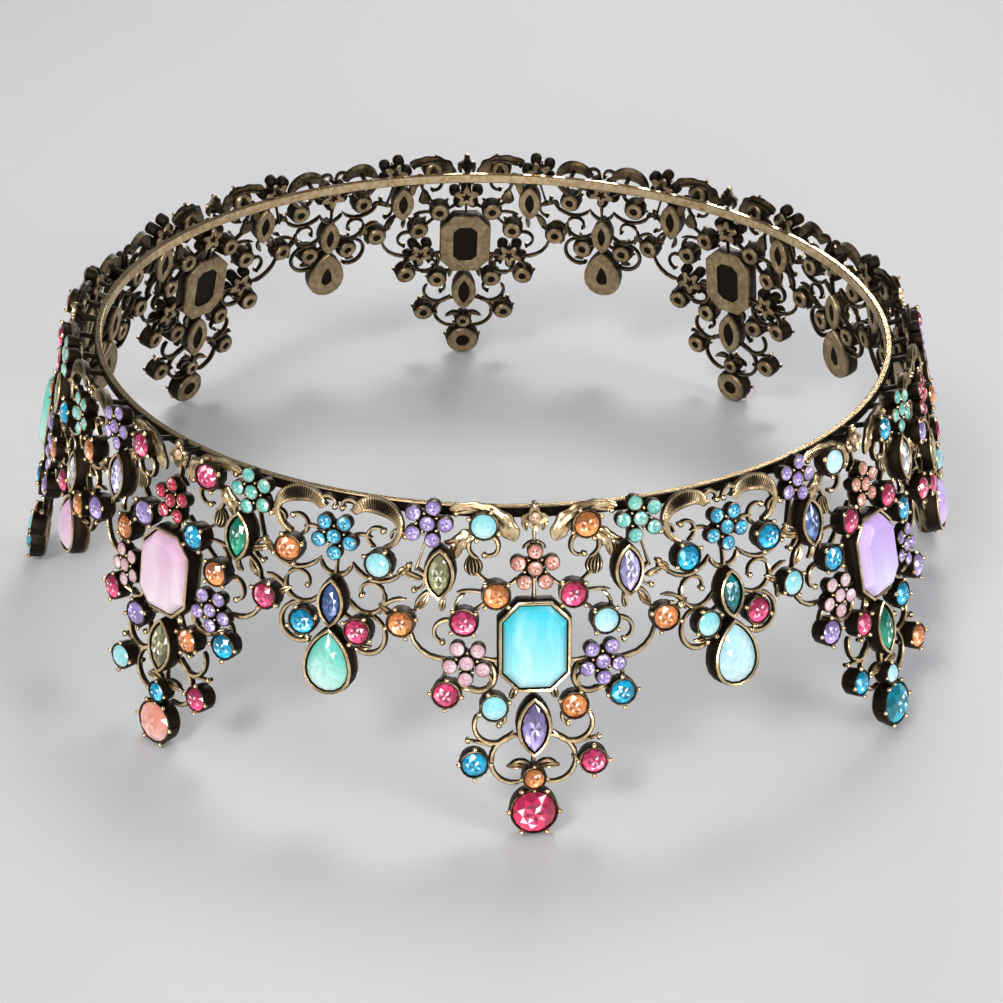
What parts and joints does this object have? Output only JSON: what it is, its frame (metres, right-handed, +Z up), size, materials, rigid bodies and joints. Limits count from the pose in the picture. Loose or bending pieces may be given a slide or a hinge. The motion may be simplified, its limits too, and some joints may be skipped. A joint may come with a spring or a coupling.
{
  "type": "jewelled diadem",
  "caption": "Openwork metal diadem of long and short plates round a flat band, set with large cut stones, small rounds and stone flowers; stands on its points.",
  "frame": {"origin": "on the surface it stands on, under the middle of the band's circle", "axes": "+Z up, from the points to the band; -Y towards the large plate at the front of the picture; +X to its right"},
  "size_m": [0.1838, 0.1838, 0.0552],
  "materials": {
    "antique_gold": "antiqued, bright on the edges and dark in the recesses",
    "octagon_stone": "polished, facetted",
    "drop_navette_stone": "polished, facetted",
    "tip_gem": "polished, facetted",
    "pear_stone": "polished, facetted",
    "neck_stone": "polished, facetted",
    "side_navette_stone": "polished, facetted",
    "small_navette_stone": "polished, facetted",
    "round_stone": "polished, facetted"
  },
  "bodies": {
    "root": {"frame": "antique_gold", "octagon_1": "octagon_stone", "octagon_2": "octagon_stone", "octagon_3": "octagon_stone", "octagon_4": "octagon_stone", "octagon_5": "octagon_stone", "octagon_6": "octagon_stone", "octagon_7": "octagon_stone", "octagon_8": "octagon_stone", "drop_navette_1": "drop_navette_stone", "drop_navette_2": "drop_navette_stone", "drop_navette_3": "drop_navette_stone", "drop_navette_4": "drop_navette_stone", "drop_navette_5": "drop_navette_stone", "drop_navette_6": "drop_navette_stone", "drop_navette_7": "drop_navette_stone", "drop_navette_8": "drop_navette_stone", "tip_stone_1": "tip_gem", "tip_stone_2": "tip_gem", "tip_stone_3": "tip_gem", "tip_stone_4": "tip_gem", "tip_stone_5": "tip_gem", "tip_stone_6": "tip_gem", "tip_stone_7": "tip_gem", "tip_stone_8": "tip_gem", "pear_1": "pear_stone", "pear_2": "pear_stone", "pear_3": "pear_stone", "pear_4": "pear_stone", "pear_5": "pear_stone", "pear_6": "pear_stone", "pear_7": "pear_stone", "pear_8": "pear_stone", "neck_stones": "neck_stone", "side_navettes": "side_navette_stone", "small_navettes": "small_navette_stone", "upper_rounds": "round_stone", "lower_rounds": "round_stone"}
  },
  "joints": []
}
